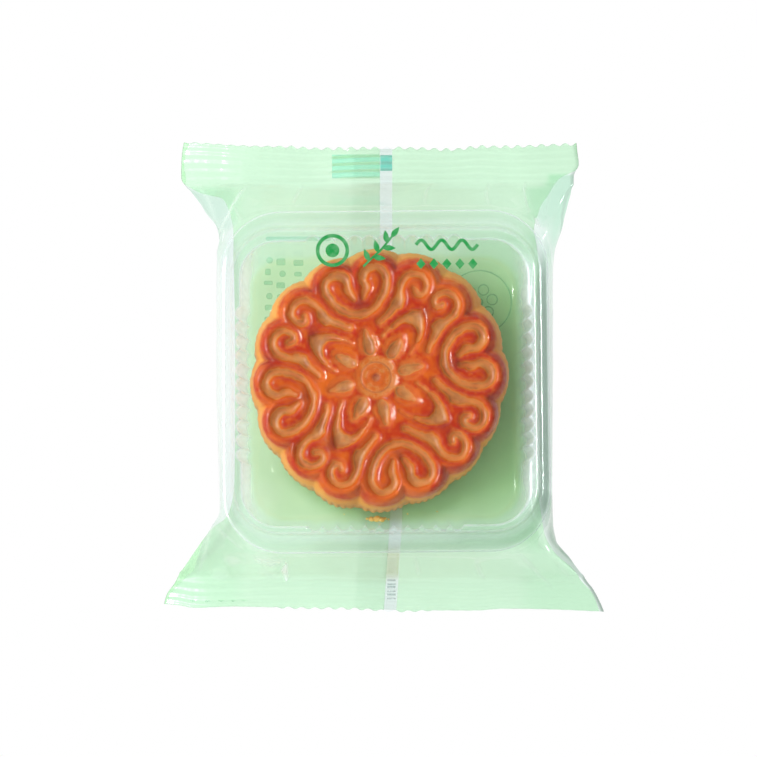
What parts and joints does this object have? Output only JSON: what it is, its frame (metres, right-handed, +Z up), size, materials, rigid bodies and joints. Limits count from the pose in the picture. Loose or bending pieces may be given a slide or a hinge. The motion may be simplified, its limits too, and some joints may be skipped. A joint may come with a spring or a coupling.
{
  "type": "wrapped mooncake",
  "caption": "Round moulded mooncake in a clear square tray, sealed in a clear flow wrap with a pale green back panel and zigzag-cut crimped ends, lying on its back seam.",
  "frame": {"origin": "middle of the bounding box on the surface that the pack lies on", "axes": "+Z up through the cake's patterned face, +X across the pack to the right, +Y along the pack towards the crimp at the top of the print"},
  "size_m": [0.1098, 0.1202, 0.0295],
  "materials": {
    "film": "thin glossy clear film with a pale green printed back panel",
    "tray": "thin clear thermoformed sheet",
    "print": "green ink on the film",
    "crust": "baked golden crust, browned and egg-washed on its raised pattern"
  },
  "bodies": {
    "root": {"sealed_pack": "film"}
  },
  "joints": []
}
